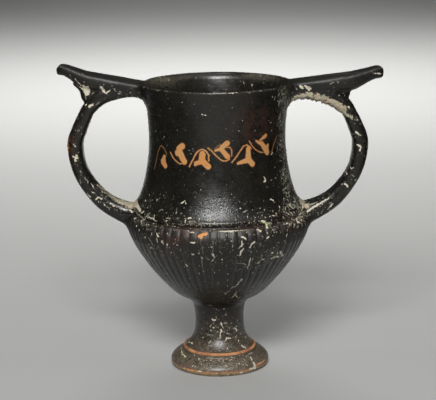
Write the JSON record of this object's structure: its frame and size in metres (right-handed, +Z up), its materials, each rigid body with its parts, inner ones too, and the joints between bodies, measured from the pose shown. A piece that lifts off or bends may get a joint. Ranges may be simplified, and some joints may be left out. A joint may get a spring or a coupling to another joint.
{
  "type": "black-glaze kantharos",
  "caption": "Stemmed pottery drinking cup with a ribbed bowl, a tall flaring neck and two strap handles that end in spurred thumb rests.",
  "frame": {"origin": "on the standing surface, below the middle between the tips of the two spurs; the vessel's own axis is 2 mm towards -X of it, because the right spur reaches out 4 mm further than the left one", "axes": "+Z up, the handles lie along X, the front with the ivy garland faces -Y"},
  "size_m": [0.1834, 0.105, 0.1755],
  "materials": {
    "black_glaze": "worn semi-gloss near-black slip glaze over orange clay, with pale burial deposit, scratches and a thin painted ivy garland on the neck"
  },
  "bodies": {
    "root": {"kantharos": "black_glaze"}
  },
  "joints": []
}
